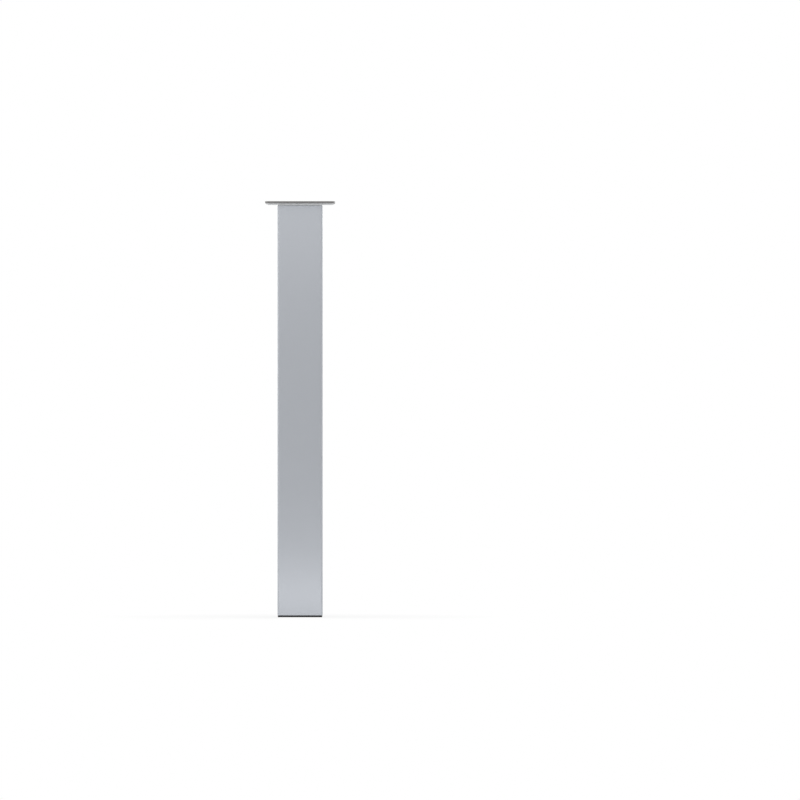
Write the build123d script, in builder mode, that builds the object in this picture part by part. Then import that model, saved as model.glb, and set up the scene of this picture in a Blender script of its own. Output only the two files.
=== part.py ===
from build123d import *
from math import cos, pi
import os

# Adjustable table leg: a cast mounting plate, a square steel tube, and a square foot on a spindle.
# Millimetres, +Z up. The origin is on the floor, on the leg's axis, with the foot wound fully in.
# The lock screws are at the back, on the +Y side.

os.makedirs("parts", exist_ok=True)

# Whole leg
leg_height = 705.0
least_corner = 0.5
hexagon_sides = 6

# Square tube
tube_size = 76.2
tube_wall = 1.5
tube_corner = 3.0
tube_deburr = 0.4

# Mounting plate
plate_overhang = 20.9
plate_thickness = 4.5
plate_corner = 8.0
plate_land = 2.5
plate_bevel_width = 3.5
collar_height = 2.4
collar_inset = 0.6
collar_bevel = 0.5

# Wood screw holes in the mounting plate
screw_edge_distance = 10.5
screw_hole_diameter = 5.5
screw_head_diameter = 10.5
screw_head_angle = 90.0

# Spigot of the mounting plate, cored from below
spigot_depth = 32.0
spigot_wall = 3.0
spigot_draft = 0.5
spigot_lead_in = 1.5
spigot_clearance = 0.3
spigot_corner_relief = 2.5
spigot_roof = 3.5
core_corner = 3.0
core_rib_thickness = 3.0
core_rib_depth = 18.0

# Lock screws through the back of the tube
lock_diameter = 6.0
lock_length = 10.0
lock_side_distance = 18.1
lock_drop = 16.0
lock_sink = 0.2
lock_key = 3.0
lock_key_depth = 3.5
lock_fit = 0.05
lock_hole_clearance = 0.2
lock_pad_size = 13.0
lock_pad_depth = 12.0

# Levelling foot
foot_travel = 28.0
travel_spare = 0.1
foot_inset = 0.5
foot_rim = 1.8
foot_edge_bevel = 0.4
foot_floor = 5.0
sleeve_wall = 2.5
sleeve_lead_in = 0.8
sleeve_overlap = 18.5
sleeve_head_room = 2.0
slide_clearance = 0.3
hub_margin = 3.0
hub_height = 3.0
foot_rib_thickness = 2.5
foot_rib_height = 9.0

# Plug in the tube's lower end
flange_thickness = 1.2
plug_depth = 40.0
plug_wall = 2.0
plug_clearance = 0.6
plug_lead_in = 0.6
crush_rib_height = 0.55
crush_rib_sides = 4
crush_rib_side_distance = 14.0
web_gap = 6.0
web_thickness = 2.0
web_side_distance = 10.5
web_drop = 3.0
guide_wall = 2.5
guide_corner = 3.0
ceiling_thickness = 4.0
nut_boss_wall = 3.0
nut_boss_roof = 6.0
gusset_thickness = 2.5
gusset_drop = 2.0
spindle_bore_clearance = 0.2

# Nut
thread_diameter = 10.0
nut_wall = 3.0
nut_height = 10.0
nut_pocket_clearance = 0.06

# Spindle
thread_clearance = 0.05
thread_spare = 2.0
shoulder_diameter = 18.0
shoulder_thickness = 4.0
tail_step = 1.0
tail_clearance = 0.08
tail_recess = 0.6
spindle_key = 4.0
spindle_key_depth = 4.5

# Retaining rings on the spindle's tail and at its upper end
ring_thickness = 1.0
ring_band = 2.6
ring_mouth = 3.2
ring_fit = 0.05
ring_groove_depth = 0.25
ring_groove_play = 0.1
ring_recess_clearance = 2.1
ring_recess_depth = 2.4
ring_end_land = 2.0

# Sizes worked out from those above
tube_bore = tube_size - 2 * tube_wall
bore_corner = max(tube_corner - tube_wall, least_corner)
plate_size = tube_size + 2 * plate_overhang
plate_bevel_height = plate_thickness - plate_land
screw_pitch = plate_size - 2 * screw_edge_distance
lock_spacing = tube_size - 2 * lock_side_distance
collar_size = tube_size - 2 * collar_inset
collar_corner = max(tube_corner - collar_inset, least_corner)
spigot_size = tube_bore - 2 * spigot_clearance
spigot_corner = bore_corner + spigot_corner_relief
core_size = spigot_size - 2 * spigot_wall

plug_size = tube_bore - 2 * plug_clearance
plug_corner = bore_corner + plug_clearance
plug_inside = plug_size - 2 * plug_wall
crush_rib_spacing = plug_size - 2 * crush_rib_side_distance
guide_block = plug_inside - 2 * web_gap
guide_size = guide_block - 2 * guide_wall
web_spacing = guide_size - 2 * web_side_distance
sleeve_size = guide_size - 2 * slide_clearance
sleeve_corner = max(guide_corner - slide_clearance, least_corner)
sleeve_inside = sleeve_size - 2 * sleeve_wall
sleeve_inside_corner = max(sleeve_corner - sleeve_wall, least_corner)
foot_size = tube_size - 2 * foot_inset
foot_corner = max(tube_corner - foot_inset, least_corner)

nut_flats = thread_diameter + 2 * nut_wall
nut_corner_radius = nut_flats / 2 / cos(pi / hexagon_sides)
nut_pocket_flats = nut_flats + 2 * nut_pocket_clearance
nut_boss_radius = nut_corner_radius + nut_boss_wall
nut_bore_radius = thread_diameter / 2
thread_radius = nut_bore_radius - thread_clearance
spindle_bore_radius = nut_bore_radius + spindle_bore_clearance
tail_radius = nut_bore_radius - tail_step
tail_hole_radius = tail_radius + tail_clearance
shoulder_radius = shoulder_diameter / 2
hub_radius = shoulder_radius + hub_margin
ring_groove_radius = tail_radius - ring_groove_depth
ring_inner_radius = ring_groove_radius + ring_fit
ring_outer_radius = ring_inner_radius + ring_band
ring_recess_radius = ring_outer_radius + ring_recess_clearance

# Heights worked out from those above
tube_bottom = foot_rim + flange_thickness
plate_bottom = leg_height - plate_thickness
tube_top = plate_bottom - collar_height
tube_length = tube_top - tube_bottom
spigot_bottom = tube_top - spigot_depth
core_top = leg_height - spigot_roof
lock_height = tube_top - lock_drop
sleeve_top = foot_rim + foot_travel + sleeve_overlap
ceiling_height = sleeve_top + sleeve_head_room
nut_top = ceiling_height + nut_height
nut_boss_top = nut_top + nut_boss_roof
hub_top = foot_floor + hub_height
shoulder_top = hub_top + shoulder_thickness
thread_top = nut_top + foot_travel + thread_spare
tail_ring_height = ring_recess_depth - ring_fit - ring_thickness
stop_ring_height = nut_boss_top + foot_travel + travel_spare
spindle_top = stop_ring_height + ring_thickness + ring_end_land

# Planes used by more than one piece
lock_plane_outside = Plane(origin=(0, tube_size / 2, lock_height), x_dir=(1, 0, 0), z_dir=(0, 1, 0))
lock_plane_screw = lock_plane_outside.offset(-lock_sink)
lock_plane_spigot = lock_plane_outside.offset(-tube_wall)
lock_plane_pad = lock_plane_outside.offset(-tube_wall - spigot_clearance - lock_pad_depth)


# Square tube with its ends deburred and the lock screw holes in its back wall
with BuildPart() as leg_tube:
    with BuildSketch(Plane.XY.offset(tube_bottom)):
        RectangleRounded(tube_size, tube_size, tube_corner)
        RectangleRounded(tube_bore, tube_bore, bore_corner, mode=Mode.SUBTRACT)
    extrude(amount=tube_length)
    end_faces = leg_tube.faces().filter_by(Axis.Z)
    chamfer([edge for face in end_faces for edge in face.outer_wire().edges()], tube_deburr)
    with Locations(lock_plane_outside):
        with GridLocations(lock_spacing, lock_spacing, 2, 1):
            Hole(lock_diameter / 2 + lock_hole_clearance, depth=2 * tube_wall)


# Cast mounting plate: bevelled square plate, collar, and a hollow ribbed spigot for the tube
with BuildPart() as mounting_plate:
    with BuildSketch(Plane.XY.offset(plate_bottom)):
        RectangleRounded(plate_size, plate_size, plate_corner)
    extrude(amount=plate_thickness)
    underside = mounting_plate.faces().sort_by(Axis.Z)[0]
    chamfer(underside.edges(), plate_bevel_width, plate_bevel_height, reference=underside)

    with BuildSketch(Plane.XY.offset(tube_top)):
        RectangleRounded(collar_size, collar_size, collar_corner)
    extrude(amount=collar_height)
    chamfer(mounting_plate.faces().sort_by(Axis.Z)[0].edges(), collar_bevel)

    with BuildSketch(Plane(origin=(0, 0, tube_top), z_dir=(0, 0, -1))):
        RectangleRounded(spigot_size, spigot_size, spigot_corner)
    extrude(amount=spigot_depth, taper=spigot_draft)
    chamfer(mounting_plate.faces().sort_by(Axis.Z)[0].edges(), spigot_lead_in)

    # The core is open below, and narrows upwards by the same draft
    with BuildSketch(Plane.XY.offset(spigot_bottom)):
        RectangleRounded(core_size, core_size, core_corner)
    extrude(amount=core_top - spigot_bottom, taper=spigot_draft, mode=Mode.SUBTRACT)
    with BuildSketch(Plane.XY.offset(core_top - core_rib_depth)):
        Rectangle(core_size, core_rib_thickness)
        Rectangle(core_rib_thickness, core_size)
    extrude(amount=core_rib_depth)

    # Tapped pads for the lock screws
    with BuildSketch(lock_plane_pad):
        with GridLocations(lock_spacing, lock_spacing, 2, 1):
            Rectangle(lock_pad_size, lock_pad_size)
    extrude(amount=lock_pad_depth - spigot_wall / 2)
    with Locations(lock_plane_spigot):
        with GridLocations(lock_spacing, lock_spacing, 2, 1):
            Hole(lock_diameter / 2 + lock_fit, depth=2 * lock_pad_depth)

    # Wood screw holes in the corners, countersunk from below
    with Locations(Plane(origin=(0, 0, plate_bottom), z_dir=(0, 0, -1))):
        with GridLocations(screw_pitch, screw_pitch, 2, 2):
            CounterSinkHole(
                screw_hole_diameter / 2,
                screw_head_diameter / 2,
                depth=2 * plate_thickness,
                counter_sink_angle=screw_head_angle,
            )


# Two grub screws that pin the tube to the spigot, flush with the tube's back
with BuildPart() as lock_screws:
    with BuildSketch(lock_plane_screw):
        with GridLocations(lock_spacing, lock_spacing, 2, 1):
            Circle(lock_diameter / 2)
    extrude(amount=-lock_length)
    with BuildSketch(lock_plane_screw):
        with GridLocations(lock_spacing, lock_spacing, 2, 1):
            RegularPolygon(lock_key / 2, hexagon_sides, major_radius=False)
    extrude(amount=-lock_key_depth, mode=Mode.SUBTRACT)


# Moulded plug: flange under the tube, double wall with webs, square guide, and the nut's boss
with BuildPart() as foot_plug:
    with BuildSketch(Plane.XY.offset(foot_rim)):
        RectangleRounded(foot_size, foot_size, foot_corner)
    extrude(amount=flange_thickness)

    with BuildSketch(Plane.XY.offset(tube_bottom)):
        RectangleRounded(plug_size, plug_size, plug_corner)
    extrude(amount=plug_depth)
    chamfer(foot_plug.faces().sort_by(Axis.Z)[-1].edges(), plug_lead_in)
    with BuildSketch(Plane.XY.offset(tube_bottom)):
        RectangleRounded(plug_inside, plug_inside, plug_corner)
    extrude(amount=plug_depth, mode=Mode.SUBTRACT)

    # Pointed crush ribs that grip the tube's bore
    with BuildSketch(Plane.XY.offset(tube_bottom)):
        with PolarLocations(plug_size / 2, 4):
            with GridLocations(crush_rib_spacing, crush_rib_spacing, 1, 2):
                RegularPolygon(crush_rib_height, crush_rib_sides)
    extrude(amount=plug_depth - plug_lead_in - web_drop)

    # Guide block for the foot's sleeve, webs out to the plug's wall, and the nut's boss on top
    with BuildSketch(Plane.XY.offset(tube_bottom)):
        RectangleRounded(guide_block, guide_block, guide_corner + guide_wall)
    extrude(amount=ceiling_height + ceiling_thickness - tube_bottom)
    with BuildSketch(Plane.XY.offset(tube_bottom)):
        with GridLocations(web_spacing, web_spacing, 2, 1):
            Rectangle(web_thickness, plug_size - plug_wall)
        with GridLocations(web_spacing, web_spacing, 1, 2):
            Rectangle(plug_size - plug_wall, web_thickness)
    extrude(amount=plug_depth - web_drop)
    with BuildSketch(Plane.XY.offset(ceiling_height)):
        Circle(nut_boss_radius)
    extrude(amount=nut_boss_top - ceiling_height)
    with BuildSketch(Plane.XY.offset(ceiling_height)):
        Rectangle(guide_block - 2 * guide_wall, gusset_thickness)
        Rectangle(gusset_thickness, guide_block - 2 * guide_wall)
    extrude(amount=nut_boss_top - gusset_drop - ceiling_height)

    # Guide, nut pocket and spindle bore, all open from below
    with BuildSketch(Plane.XY.offset(foot_rim)):
        RectangleRounded(guide_size, guide_size, guide_corner)
    extrude(amount=ceiling_height - foot_rim, mode=Mode.SUBTRACT)
    with BuildSketch(Plane.XY.offset(ceiling_height)):
        RegularPolygon(nut_pocket_flats / 2, hexagon_sides, major_radius=False)
    extrude(amount=nut_height, mode=Mode.SUBTRACT)
    with BuildSketch(Plane.XY.offset(nut_top)):
        Circle(spindle_bore_radius)
    extrude(amount=nut_boss_roof, mode=Mode.SUBTRACT)


# Hexagon nut in the plug's boss
with BuildPart() as spindle_nut:
    with BuildSketch(Plane.XY.offset(ceiling_height)):
        RegularPolygon(nut_flats / 2, hexagon_sides, major_radius=False)
        Circle(nut_bore_radius, mode=Mode.SUBTRACT)
    extrude(amount=nut_height)


# Levelling foot: square base, guide sleeve, hub for the spindle, and ribs between them
with BuildPart() as leveling_foot:
    with BuildSketch():
        RectangleRounded(foot_size, foot_size, foot_corner)
    extrude(amount=foot_rim)
    chamfer(leveling_foot.faces().sort_by(Axis.Z)[0].edges(), foot_edge_bevel)

    with BuildSketch(Plane.XY.offset(foot_rim)):
        RectangleRounded(sleeve_size, sleeve_size, sleeve_corner)
    extrude(amount=sleeve_top - foot_rim)
    chamfer(leveling_foot.faces().sort_by(Axis.Z)[-1].edges(), sleeve_lead_in)
    with BuildSketch(Plane.XY.offset(foot_floor)):
        RectangleRounded(sleeve_inside, sleeve_inside, sleeve_inside_corner)
    extrude(amount=sleeve_top - foot_floor, mode=Mode.SUBTRACT)

    with BuildSketch(Plane.XY.offset(foot_floor)):
        Rectangle(sleeve_size - sleeve_wall, foot_rib_thickness)
        Rectangle(foot_rib_thickness, sleeve_size - sleeve_wall)
    extrude(amount=foot_rib_height)
    with BuildSketch(Plane.XY.offset(foot_floor)):
        Circle(hub_radius)
    extrude(amount=hub_height)

    # The shoulder turns on the hub, clear of the ribs, and the ring sits in a recess underneath
    with BuildSketch(Plane.XY.offset(hub_top)):
        Circle(hub_radius)
    extrude(amount=foot_rib_height, mode=Mode.SUBTRACT)
    with BuildSketch():
        Circle(ring_recess_radius)
    extrude(amount=ring_recess_depth, mode=Mode.SUBTRACT)
    with BuildSketch():
        Circle(tail_hole_radius)
    extrude(amount=hub_top, mode=Mode.SUBTRACT)


# Spindle: tail with a hexagon socket, shoulder, threaded shank at its full diameter, upper journal
with BuildPart() as leveling_spindle:
    with BuildSketch(Plane.XZ):
        with BuildLine():
            Polyline(
                (0, tail_recess),
                (tail_radius, tail_recess),
                (tail_radius, hub_top),
                (shoulder_radius, hub_top),
                (shoulder_radius, shoulder_top),
                (thread_radius, shoulder_top),
                (thread_radius, thread_top - tail_step),
                (tail_radius, thread_top),
                (tail_radius, spindle_top),
                (0, spindle_top),
                close=True,
            )
        make_face()
    revolve(axis=Axis.Z)
    for ring_height in (tail_ring_height, stop_ring_height):
        with BuildSketch(Plane.XY.offset(ring_height - ring_groove_play / 2)):
            Circle(tail_radius)
            Circle(ring_groove_radius, mode=Mode.SUBTRACT)
        extrude(amount=ring_thickness + ring_groove_play, mode=Mode.SUBTRACT)
    with BuildSketch(Plane.XY.offset(tail_recess)):
        RegularPolygon(spindle_key / 2, hexagon_sides, major_radius=False)
    extrude(amount=spindle_key_depth, mode=Mode.SUBTRACT)


# Two open retaining rings: one in the recess under the foot, and one at the spindle's upper end
# that meets the nut's boss when the foot is fully out
with BuildPart() as retaining_rings:
    for ring_height in (tail_ring_height, stop_ring_height):
        with BuildSketch(Plane.XY.offset(ring_height)):
            Circle(ring_outer_radius)
            Circle(ring_inner_radius, mode=Mode.SUBTRACT)
            with Locations((0, ring_outer_radius)):
                Rectangle(ring_mouth, 2 * ring_outer_radius, mode=Mode.SUBTRACT)
        extrude(amount=ring_thickness)


pieces = {
    "mounting_plate": mounting_plate,
    "leg_tube": leg_tube,
    "lock_screws": lock_screws,
    "foot_plug": foot_plug,
    "spindle_nut": spindle_nut,
    "leveling_foot": leveling_foot,
    "leveling_spindle": leveling_spindle,
    "retaining_rings": retaining_rings,
}
for piece_name, piece in pieces.items():
    piece.part.label = piece_name
    export_step(piece.part, f"parts/{piece_name}.step")
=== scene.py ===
import math

import bmesh
import bpy
from mathutils import Matrix, Vector


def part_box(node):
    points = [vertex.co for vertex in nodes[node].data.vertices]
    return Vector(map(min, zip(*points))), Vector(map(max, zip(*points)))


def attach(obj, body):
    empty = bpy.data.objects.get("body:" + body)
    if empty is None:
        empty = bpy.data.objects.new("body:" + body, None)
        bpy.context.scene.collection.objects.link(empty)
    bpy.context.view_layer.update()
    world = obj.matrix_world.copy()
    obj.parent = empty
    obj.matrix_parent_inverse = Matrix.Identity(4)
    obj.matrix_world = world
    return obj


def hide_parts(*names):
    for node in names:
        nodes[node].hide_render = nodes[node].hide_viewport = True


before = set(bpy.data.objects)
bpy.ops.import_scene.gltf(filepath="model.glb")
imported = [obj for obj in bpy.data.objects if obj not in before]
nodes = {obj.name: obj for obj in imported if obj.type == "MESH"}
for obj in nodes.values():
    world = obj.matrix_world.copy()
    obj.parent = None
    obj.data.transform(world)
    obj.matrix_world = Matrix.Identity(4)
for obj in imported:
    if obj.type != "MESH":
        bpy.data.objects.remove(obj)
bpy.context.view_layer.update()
print("frame loaded:", ", ".join(sorted(nodes)))


# Materials

def newMaterial(name, look):
    material = bpy.data.materials.new(name)
    material.use_nodes = True
    shader = material.node_tree.nodes["Principled BSDF"]
    shader.inputs["Base Color"].default_value = (*look["color"], 1.0)
    shader.inputs["Metallic"].default_value = look["metallic"]
    shader.inputs["Roughness"].default_value = look["roughness"]
    shader.inputs["Specular IOR Level"].default_value = look["specular"]
    return material, shader


def addNoise(material, scale, detail):
    tree = material.node_tree
    place = tree.nodes.new("ShaderNodeTexCoord")
    noise = tree.nodes.new("ShaderNodeTexNoise")
    noise.inputs["Scale"].default_value = scale  # per metre
    noise.inputs["Detail"].default_value = detail
    tree.links.new(place.outputs["Object"], noise.inputs["Vector"])
    return noise


def addSpeckle(material, shader, look):
    # Colour that wanders a little either side of the finish's own
    tree = material.node_tree
    noise = addNoise(material, look["speckleScale"], 2.0)
    ramp = tree.nodes.new("ShaderNodeValToRGB")
    low, high = 1.0 - look["speckle"], 1.0 + look["speckle"]
    ramp.color_ramp.elements[0].position = 0.3
    ramp.color_ramp.elements[0].color = (*[c * low for c in look["color"]], 1.0)
    ramp.color_ramp.elements[1].position = 0.7
    ramp.color_ramp.elements[1].color = (*[c * high for c in look["color"]], 1.0)
    tree.links.new(noise.outputs["Fac"], ramp.inputs["Fac"])
    tree.links.new(ramp.outputs["Color"], shader.inputs["Base Color"])


def addRelief(material, shader, look):
    tree = material.node_tree
    noise = addNoise(material, look["reliefScale"], 1.0)
    bump = tree.nodes.new("ShaderNodeBump")
    bump.inputs["Strength"].default_value = look["reliefStrength"]
    bump.inputs["Distance"].default_value = look["reliefHeight"]
    tree.links.new(noise.outputs["Fac"], bump.inputs["Height"])
    tree.links.new(bump.outputs["Normal"], shader.inputs["Normal"])


def addPaintedLightAndShade(material, shader, look):
    # Painted light and shade: below the plate's underside the silver coat is painted brighter as painted
    # light, and it fades out with height up the bevel into the rim's darker painted shadow
    tree = material.node_tree
    place = tree.nodes.new("ShaderNodeTexCoord")
    split = tree.nodes.new("ShaderNodeSeparateXYZ")
    paintedLightMask = tree.nodes.new("ShaderNodeMapRange")
    paintedLightMask.inputs["From Min"].default_value = look["paintedLightBelow"]
    paintedLightMask.inputs["From Max"].default_value = look["paintedShadeAbove"]
    paintedLightMask.inputs["To Min"].default_value = 1.0
    paintedLightMask.inputs["To Max"].default_value = 0.0
    mix = tree.nodes.new("ShaderNodeMix")
    mix.data_type = "RGBA"
    mix.inputs["B"].default_value = (*look["silverWithPaintedLight"], 1.0)
    # The base colour, which on the plate is the rim's painted shadow
    coatAndPaintedShade = shader.inputs["Base Color"].links[0].from_socket
    tree.links.new(place.outputs["Object"], split.inputs["Vector"])
    tree.links.new(split.outputs["Z"], paintedLightMask.inputs["Value"])
    tree.links.new(paintedLightMask.outputs["Result"], mix.inputs["Factor"])
    tree.links.new(coatAndPaintedShade, mix.inputs["A"])
    tree.links.new(mix.outputs["Result"], shader.inputs["Base Color"])


def makeFinish(name, look):
    material, shader = newMaterial(name, look)
    addSpeckle(material, shader, look)
    addRelief(material, shader, look)
    # Painted light and shade, on the looks that carry them
    if "silverWithPaintedLight" in look:
        addPaintedLightAndShade(material, shader, look)
    return material


def dress(nodeName, material):
    mesh = nodes[nodeName].data
    mesh.materials.clear()
    mesh.materials.append(material)


# Satin silver coat on the tube
tubeCoat = {
    "color": (0.43, 0.45, 0.485),
    "metallic": 0.25,
    "roughness": 0.42,
    "specular": 0.5,
    "speckle": 0.03,
    "speckleScale": 2600.0,
    "reliefScale": 700.0,  # orange peel about 1.5 mm across
    "reliefStrength": 0.06,
    "reliefHeight": 0.0002,
}

# The cast plate has a coarser skin; its rim is painted a darker grey as the painted shadow of a board above,
# and its underside and collar are its silver coat, painted brighter than the tube as painted light
plateCoatAndPaintedLight = {
    # painted shadow: the rim's darker grey
    "color": (0.15, 0.146, 0.143),
    # silver coat with painted light, brighter than the tube's
    "silverWithPaintedLight": (0.62, 0.63, 0.64),
    "paintedLightBelow": 0.7006,  # just above the underside
    "paintedShadeAbove": 0.7026,  # just above the bevel
    "metallic": 0.25,
    "roughness": 0.46,
    "specular": 0.5,
    "speckle": 0.05,
    "speckleScale": 1500.0,
    "reliefScale": 450.0,
    "reliefStrength": 0.12,
    "reliefHeight": 0.0003,
}

# Fine-textured black nylon of the plug and foot
blackNylon = {
    "color": (0.010, 0.010, 0.011),
    "metallic": 0.0,
    "roughness": 0.6,
    "specular": 0.25,
    "speckle": 0.15,
    "speckleScale": 900.0,
    "reliefScale": 2200.0,
    "reliefStrength": 0.25,
    "reliefHeight": 0.0002,
}

# Bright zinc plating on the screws, nut and spindle
zincPlating = {
    "color": (0.60, 0.61, 0.62),
    "metallic": 1.0,
    "roughness": 0.28,
    "specular": 0.5,
    "speckle": 0.06,
    "speckleScale": 800.0,
    "reliefScale": 1800.0,
    "reliefStrength": 0.05,
    "reliefHeight": 0.0001,
}

# Dark phosphated spring steel of the retaining rings
springSteel = {
    "color": (0.16, 0.15, 0.14),
    "metallic": 0.9,
    "roughness": 0.45,
    "specular": 0.5,
    "speckle": 0.12,
    "speckleScale": 1500.0,
    "reliefScale": 2500.0,
    "reliefStrength": 0.1,
    "reliefHeight": 0.0001,
}

coatMaterial = makeFinish("tubeCoat", tubeCoat)
plateMaterial = makeFinish("plateCoatAndPaintedLight", plateCoatAndPaintedLight)
nylonMaterial = makeFinish("blackNylon", blackNylon)
zincMaterial = makeFinish("zincPlating", zincPlating)
springMaterial = makeFinish("springSteel", springSteel)

dress("leg_tube", coatMaterial)
dress("mounting_plate", plateMaterial)
dress("foot_plug", nylonMaterial)
dress("leveling_foot", nylonMaterial)
dress("lock_screws", zincMaterial)
dress("spindle_nut", zincMaterial)
dress("leveling_spindle", zincMaterial)
dress("retaining_rings", springMaterial)
print("finishes set on", len(nodes), "nodes")


# New pieces

sharpAngle = math.radians(30)  # edges that turn further than this stay crisp
samePlace = 1e-7  # points this close are one
sameLevel = 1e-6  # and this close in height, on one rim
weldReach = 1e-6  # joins each turn of a thread to the next
sliver = 1e-5  # shorter edges on a cut are closed up


def finishPiece(name, bm, material, body):
    for face in bm.faces:
        face.smooth = True
    for edge in bm.edges:
        edge.smooth = edge.calc_face_angle(math.pi) < sharpAngle
    mesh = bpy.data.meshes.new(name)
    bm.to_mesh(mesh)
    bm.free()
    mesh.materials.append(material)
    piece = bpy.data.objects.new(name, mesh)
    bpy.context.scene.collection.objects.link(piece)
    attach(piece, body)
    return piece


def joinShells(shells):
    # Closed shapes turned right side out and put into one bmesh
    whole = bmesh.new()
    for bm in shells:
        bmesh.ops.remove_doubles(bm, verts=bm.verts, dist=samePlace)
        bmesh.ops.recalc_face_normals(bm, faces=bm.faces)
        shell = bpy.data.meshes.new("shell")
        bm.to_mesh(shell)
        bm.free()
        whole.from_mesh(shell)
        bpy.data.meshes.remove(shell)
    return whole


def sweepThread(bm, points, pitch, steps, datum, bottom, top):
    # One pitch of (radius, share of the pitch) points, swept up a right-hand helix through the
    # datum level and cut off square at both ends
    start = datum + (math.floor((bottom - datum) / pitch) - 1) * pitch
    turns = math.ceil((top - start) / pitch) + 1
    verts = [bm.verts.new((radius, 0.0, start + share * pitch)) for radius, share in points]
    edges = [bm.edges.new(pair) for pair in zip(verts, verts[1:])]
    bmesh.ops.spin(
        bm, geom=verts + edges, axis=(0, 0, 1), cent=(0, 0, 0), dvec=(0, 0, pitch / steps),
        angle=2 * math.pi * turns, steps=steps * turns,
    )
    bmesh.ops.remove_doubles(bm, verts=bm.verts, dist=weldReach)
    for height, side in ((bottom, -1), (top, 1)):
        bmesh.ops.bisect_plane(
            bm, geom=bm.verts[:] + bm.edges[:] + bm.faces[:], plane_co=(0, 0, height), plane_no=(0, 0, side),
            clear_outer=True,
        )
        rim = [vert for vert in bm.verts if abs(vert.co.z - height) < samePlace]
        bmesh.ops.remove_doubles(bm, verts=rim, dist=sliver)


def outerThread(radius, depth):
    # Flat root, flank, flat crest and flank, by share of the pitch
    root = radius - depth
    return [(root, 0), (root, 1 / 4), (radius, 9 / 16), (radius, 11 / 16), (root, 1)]


def openEdges(bm, height):
    # The open edges that lie at one level
    return [
        edge for edge in bm.edges
        if edge.is_boundary and all(abs(vert.co.z - height) < sameLevel for vert in edge.verts)
    ]


def edgesAt(verts):
    # The edges that meet at these vertices, each once and in order
    return list(dict.fromkeys(edge for vert in verts for edge in vert.link_edges))


def extrudeRing(bm, edges):
    # A copy of a ring of edges, joined to it by new faces
    geom = bmesh.ops.extrude_edge_only(bm, edges=edges)["geom"]
    verts = {item for item in geom if isinstance(item, bmesh.types.BMVert)}
    ring = [edge for edge in bm.edges if edge.verts[0] in verts and edge.verts[1] in verts]
    return list(verts), ring


def turnFrom(bm, ring, points):
    # Carries a ring of edges through (radius, height) points
    for radius, height in points:
        verts, ring = extrudeRing(bm, ring)
        for vert in verts:
            vert.co.xy *= radius / vert.co.xy.length
            vert.co.z = height
    return ring


def fillBetween(bm, edges):
    # The filling tool is too coarse for shapes this small, so it works on them enlarged
    larger = 1e3
    bmesh.ops.scale(bm, vec=(larger,) * 3, verts=bm.verts)
    bmesh.ops.triangle_fill(bm, edges=edges, use_beauty=True)
    bmesh.ops.scale(bm, vec=(1 / larger,) * 3, verts=bm.verts)


def addSocket(bm, height, keyRadius, depth):
    # Hexagon socket let into the open end at this level
    rim = openEdges(bm, height)
    corners = bmesh.ops.create_circle(bm, segments=6, radius=keyRadius)["verts"]
    bmesh.ops.translate(bm, verts=corners, vec=(0, 0, height))
    mouth = edgesAt(corners)
    deep, floor = extrudeRing(bm, mouth)
    bmesh.ops.translate(bm, verts=deep, vec=(0, 0, depth))
    bmesh.ops.contextual_create(bm, geom=floor)
    fillBetween(bm, rim + mouth)


# Spindle with its thread cut, in place of the plain solid
spindle = {
    "pitch": 0.0015,
    "threadRadius": 0.00495,
    "threadDepth": 0.00092,
    "threadSteps": 40,  # round each turn of the thread
    "threadLeadIn": 0.001,
    "threadTop": 0.0903,
    "tailRadius": 0.004,
    "tailBevel": 0.0004,
    "grooveRadius": 0.00375,
    "groovePlay": 0.00005,
    "ringThickness": 0.001,
    "shoulderBottom": 0.008,
    "shoulderTop": 0.012,
    "shoulderBevel": 0.0005,
    "keyRadius": 0.00231,  # to the corners of a 4 mm hexagon
    "keyDepth": 0.0045,
}


def addSpindleThread(bm, sizes):
    bottom, top = sizes["shoulderTop"], sizes["threadTop"]
    points = outerThread(sizes["threadRadius"], sizes["threadDepth"])
    sweepThread(bm, points, sizes["pitch"], sizes["threadSteps"], bottom, bottom, top)
    # The lead-in takes the crests down towards the upper end
    for vert in bm.verts:
        radius = vert.co.xy.length
        share = max(top - vert.co.z, 0.0) / sizes["threadLeadIn"]
        most = sizes["tailRadius"] + share * sizes["threadDepth"]
        if radius > most:
            vert.co.xy *= most / radius


def ringGroove(sizes, ringBottom):
    grooveLow = ringBottom - sizes["groovePlay"]
    grooveHigh = ringBottom + sizes["ringThickness"] + sizes["groovePlay"]
    return [
        (sizes["tailRadius"], grooveLow),
        (sizes["grooveRadius"], grooveLow),
        (sizes["grooveRadius"], grooveHigh),
        (sizes["tailRadius"], grooveHigh),
    ]


def addTail(bm, sizes, bottom, ringBottom, shoulderRadius):
    shoulderLow, shoulderHigh, bevel = sizes["shoulderBottom"], sizes["shoulderTop"], sizes["shoulderBevel"]
    turnFrom(bm, openEdges(bm, shoulderHigh), [
        (shoulderRadius - bevel, shoulderHigh),
        (shoulderRadius, shoulderHigh - bevel),
        (shoulderRadius, shoulderLow + bevel),
        (shoulderRadius - bevel, shoulderLow),
        (sizes["tailRadius"], shoulderLow),
        *reversed(ringGroove(sizes, ringBottom)),
        (sizes["tailRadius"], bottom + sizes["tailBevel"]),
        (sizes["tailRadius"] - sizes["tailBevel"], bottom),
    ])
    addSocket(bm, bottom, sizes["keyRadius"], sizes["keyDepth"])


def addJournal(bm, sizes, top, ringBottom):
    end = turnFrom(bm, openEdges(bm, sizes["threadTop"]), [
        *ringGroove(sizes, ringBottom),
        (sizes["tailRadius"], top - sizes["tailBevel"]),
        (sizes["tailRadius"] - sizes["tailBevel"], top),
    ])
    bmesh.ops.contextual_create(bm, geom=end)


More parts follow.
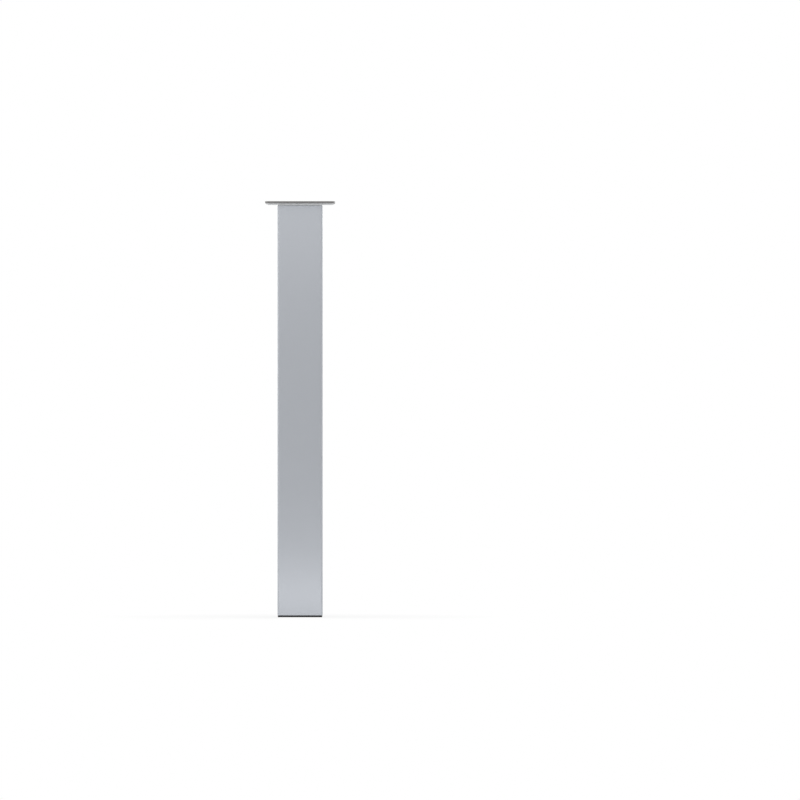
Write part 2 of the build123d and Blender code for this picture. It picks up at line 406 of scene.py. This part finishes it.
def makeSpindle(sizes):
    low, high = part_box("leveling_spindle")
    ringLow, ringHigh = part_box("retaining_rings")
    bm = bmesh.new()
    addSpindleThread(bm, sizes)
    addTail(bm, sizes, low.z, ringLow.z, high.x)
    addJournal(bm, sizes, high.z, ringHigh.z - sizes["ringThickness"])
    piece = finishPiece("threadedSpindle", joinShells([bm]), zincMaterial, "spindle")
    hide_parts("leveling_spindle")
    return piece


threadedSpindle = makeSpindle(spindle)
print("spindle threaded:", len(threadedSpindle.data.polygons), "faces")


# Nut with its corners turned off and its thread in step with the spindle's
nut = {
    "rootRadius": 0.005,
    "crestRadius": 0.0042,
    "mouthRadius": 0.0051,
    "mouthDepth": 0.0009,
    "faceRadius": 0.0077,
    "chamferSlope": math.tan(math.radians(30)),
    "flatSteps": 8,  # along each flat
}


def addBore(bm, sizes, bottom, top):
    # The spindle's profile, with a little play on its flanks
    crest, root = sizes["crestRadius"], sizes["rootRadius"]
    points = [(crest, 0), (crest, 0.29), (root, 0.56), (root, 0.69), (crest, 0.96), (crest, 1)]
    sweepThread(bm, points, spindle["pitch"], spindle["threadSteps"], spindle["shoulderTop"], bottom, top)
    # Countersunk mouths
    for vert in bm.verts:
        radius = vert.co.xy.length
        share = min(vert.co.z - bottom, top - vert.co.z) / sizes["mouthDepth"]
        least = sizes["mouthRadius"] + (crest - sizes["mouthRadius"]) * min(max(share, 0.0), 1.0)
        if radius < least:
            vert.co.xy *= least / radius


def addHexagon(bm, sizes, bottom, top, cornerRadius):
    corners = bmesh.ops.create_circle(bm, segments=6, radius=cornerRadius)["verts"]
    quarterTurn = Matrix.Rotation(math.radians(90), 3, "Z")
    bmesh.ops.rotate(bm, verts=corners, cent=(0, 0, 0), matrix=quarterTurn)
    bmesh.ops.translate(bm, verts=corners, vec=(0, 0, bottom))
    split = bmesh.ops.subdivide_edges(bm, edges=edgesAt(corners), cuts=sizes["flatSteps"] - 1)["geom_split"]
    lower = [item for item in split if isinstance(item, bmesh.types.BMEdge)]
    raised, upper = extrudeRing(bm, lower)
    bmesh.ops.translate(bm, verts=raised, vec=(0, 0, top - bottom))
    # Both ends are turned off in a cone, which cuts deepest at the corners
    for outline, inward in ((lower, 1), (upper, -1)):
        faceVerts = extrudeRing(bm, outline)[0]
        for vert in {vert for edge in outline for vert in edge.verts}:
            vert.co.z += inward * (vert.co.xy.length - sizes["faceRadius"]) * sizes["chamferSlope"]
        for vert in faceVerts:
            vert.co.xy *= sizes["faceRadius"] / vert.co.xy.length


def makeNut(sizes):
    low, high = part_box("spindle_nut")
    bm = bmesh.new()
    addBore(bm, sizes, low.z, high.z)
    addHexagon(bm, sizes, low.z, high.z, high.x)
    for height in (low.z, high.z):
        fillBetween(bm, openEdges(bm, height))
    piece = finishPiece("threadedNut", joinShells([bm]), zincMaterial, "leg")
    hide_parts("spindle_nut")
    return piece


threadedNut = makeNut(nut)
print("nut threaded:", len(threadedNut.data.polygons), "faces")


# Grub screws with their threads cut, in place of the plain lock screws
lockScrew = {
    "pitch": 0.001,
    "threadDepth": 0.0006,
    "threadSteps": 28,
    "leadIn": 0.0007,
    "keyRadius": 0.00173,  # to the corners of a 3 mm hexagon
    "keyDepth": 0.0035,
}


def makeGrubScrew(sizes, radius, length):
    # Standing on its flat point, with its socket at the top
    bm = bmesh.new()
    points = outerThread(radius, sizes["threadDepth"])
    sweepThread(bm, points, sizes["pitch"], sizes["threadSteps"], 0.0, 0.0, length)
    for vert in bm.verts:
        share = min(vert.co.z, length - vert.co.z) / sizes["leadIn"]
        most = radius - sizes["threadDepth"] * (1.0 - min(max(share, 0.0), 1.0))
        if vert.co.xy.length > most:
            vert.co.xy *= most / vert.co.xy.length
    bmesh.ops.contextual_create(bm, geom=openEdges(bm, 0.0))
    addSocket(bm, length, sizes["keyRadius"], -sizes["keyDepth"])
    return bm


def makeLockScrews(sizes):
    low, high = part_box("lock_screws")
    radius = (high.z - low.z) / 2
    layBack = Matrix.Rotation(math.radians(-90), 3, "X")
    screws = []
    for x in (low.x + radius, high.x - radius):
        bm = makeGrubScrew(sizes, radius, high.y - low.y)
        bmesh.ops.rotate(bm, verts=bm.verts, cent=(0, 0, 0), matrix=layBack)
        bmesh.ops.translate(bm, verts=bm.verts, vec=(x, low.y, low.z + radius))
        screws.append(bm)
    piece = finishPiece("threadedLockScrews", joinShells(screws), zincMaterial, "leg")
    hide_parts("lock_screws")
    return piece


threadedLockScrews = makeLockScrews(lockScrew)
print("lock screws threaded:", len(threadedLockScrews.data.polygons), "faces")


# Stage

def addSeen(tree):
    # 1 for what a viewer sees, straight, in a reflection or through glass, and 0 for light on its way
    path = tree.nodes.new("ShaderNodeLightPath")
    straightOrMirrored = tree.nodes.new("ShaderNodeMath")
    straightOrMirrored.operation = "MAXIMUM"
    seen = tree.nodes.new("ShaderNodeMath")
    seen.operation = "MAXIMUM"
    tree.links.new(path.outputs["Is Camera Ray"], straightOrMirrored.inputs[0])
    tree.links.new(path.outputs["Is Glossy Ray"], straightOrMirrored.inputs[1])
    tree.links.new(straightOrMirrored.outputs["Value"], seen.inputs[0])
    tree.links.new(path.outputs["Is Transmission Ray"], seen.inputs[1])
    return seen.outputs["Value"]


floorLook = {
    "size": 40.0,
    "gap": 0.0001,  # under the foot
    "color": (0.86, 0.86, 0.86),
    "nearWhite": 0.8,  # share of plain white that the camera sees by the foot
    "nearRadius": 0.05,
    "farRadius": 0.35,  # all white from here outwards
}


def makeFloor(look):
    bpy.ops.mesh.primitive_plane_add(size=look["size"], location=(0, 0, -look["gap"]))
    floor = bpy.context.object
    floor.name = "floor"
    material = bpy.data.materials.new("paleFloor")
    material.use_nodes = True
    tree = material.node_tree
    tree.nodes.clear()
    matte = tree.nodes.new("ShaderNodeBsdfDiffuse")
    matte.inputs["Color"].default_value = (*look["color"], 1.0)
    white = tree.nodes.new("ShaderNodeEmission")
    white.inputs["Strength"].default_value = 1.0
    place = tree.nodes.new("ShaderNodeTexCoord")
    distance = tree.nodes.new("ShaderNodeVectorMath")
    distance.operation = "LENGTH"
    whiteness = tree.nodes.new("ShaderNodeMapRange")
    whiteness.inputs["From Min"].default_value = look["nearRadius"]
    whiteness.inputs["From Max"].default_value = look["farRadius"]
    whiteness.inputs["To Min"].default_value = look["nearWhite"]
    whiteness.inputs["To Max"].default_value = 1.0
    share = tree.nodes.new("ShaderNodeMath")
    share.operation = "MULTIPLY"
    mix = tree.nodes.new("ShaderNodeMixShader")
    side = tree.nodes.new("ShaderNodeNewGeometry")
    clear = tree.nodes.new("ShaderNodeBsdfTransparent")
    oneSided = tree.nodes.new("ShaderNodeMixShader")
    output = tree.nodes.new("ShaderNodeOutputMaterial")
    tree.links.new(place.outputs["Object"], distance.inputs[0])
    tree.links.new(distance.outputs["Value"], whiteness.inputs["Value"])
    tree.links.new(addSeen(tree), share.inputs[0])
    tree.links.new(whiteness.outputs["Result"], share.inputs[1])
    tree.links.new(share.outputs["Value"], mix.inputs["Fac"])
    tree.links.new(matte.outputs["BSDF"], mix.inputs[1])
    tree.links.new(white.outputs["Emission"], mix.inputs[2])
    # From below, the floor lets the view through
    tree.links.new(side.outputs["Backfacing"], oneSided.inputs["Fac"])
    tree.links.new(mix.outputs["Shader"], oneSided.inputs[1])
    tree.links.new(clear.outputs["BSDF"], oneSided.inputs[2])
    tree.links.new(oneSided.outputs["Shader"], output.inputs["Surface"])
    floor.data.materials.append(material)
    # The floor stays under the foot when the foot is wound out
    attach(floor, "foot")


worldLook = {"color": (1.0, 1.0, 1.0), "light": 0.45}


def makeWorld(look):
    world = bpy.data.worlds.new("studio")
    bpy.context.scene.world = world
    world.use_nodes = True
    tree = world.node_tree
    background = tree.nodes["Background"]
    background.inputs["Color"].default_value = (*look["color"], 1.0)
    strength = tree.nodes.new("ShaderNodeMapRange")
    strength.inputs["To Min"].default_value = look["light"]
    strength.inputs["To Max"].default_value = 1.0
    tree.links.new(addSeen(tree), strength.inputs["Value"])
    tree.links.new(strength.outputs["Result"], background.inputs["Strength"])


# Soft boxes: place, point aimed at, width, height, watts
softBoxes = {
    "front": {"place": (-0.8, -2.6, 1.0), "aim": (0, 0, 0.35), "width": 1.6, "height": 1.6, "power": 9.0},
    "left": {"place": (-2.2, 0.0, 0.9), "aim": (0, 0, 0.35), "width": 1.2, "height": 1.4, "power": 18.0},
    "right": {"place": (2.2, 0.0, 0.9), "aim": (0, 0, 0.35), "width": 1.2, "height": 1.4, "power": 10.0},
    "back": {"place": (0.6, 2.2, 1.4), "aim": (0, 0, 0.35), "width": 1.6, "height": 1.4, "power": 24.0},
    "high": {"place": (0.0, -0.44, 0.7), "aim": (0, 0, 0.7), "width": 0.5, "height": 0.12, "power": 0.22},
    "low": {"place": (0.0, -0.24, 0.03), "aim": (0, 0, 0.02), "width": 0.3, "height": 0.05, "power": 0.11},
}


def makeSoftBox(name, box):
    lamp = bpy.data.lights.new(name, "AREA")
    lamp.shape = "RECTANGLE"
    lamp.size = box["width"]
    lamp.size_y = box["height"]
    lamp.energy = box["power"]
    lampObject = bpy.data.objects.new(name, lamp)
    lampObject.location = box["place"]
    towards = Vector(box["aim"]) - Vector(box["place"])
    lampObject.rotation_euler = towards.to_track_quat("-Z", "Y").to_euler()
    lampObject.visible_camera = False
    bpy.context.scene.collection.objects.link(lampObject)


makeFloor(floorLook)
makeWorld(worldLook)
for boxName, boxSettings in softBoxes.items():
    makeSoftBox(boxName, boxSettings)
print("stage set")


# Camera, level and far off, with the leg left of the middle of the picture
cameraView = {
    "lens": 550.0,
    "sensor": 36.0,
    "frameWidth": 1.3564,  # metres across the picture at the tube's front
    "x": 0.1696,
    "z": 0.3683,
}


def makeCamera(view):
    low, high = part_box("leg_tube")
    lens = bpy.data.cameras.new("camera")
    lens.lens = view["lens"]
    lens.sensor_width = view["sensor"]
    lens.clip_end = 100.0
    camera = bpy.data.objects.new("camera", lens)
    distance = view["frameWidth"] * view["lens"] / view["sensor"]
    camera.location = (view["x"], low.y - distance, view["z"])
    camera.rotation_euler = (math.radians(90), 0, 0)
    bpy.context.scene.collection.objects.link(camera)
    bpy.context.scene.camera = camera


makeCamera(cameraView)
bpy.context.scene.view_settings.view_transform = "Standard"
print("camera set")
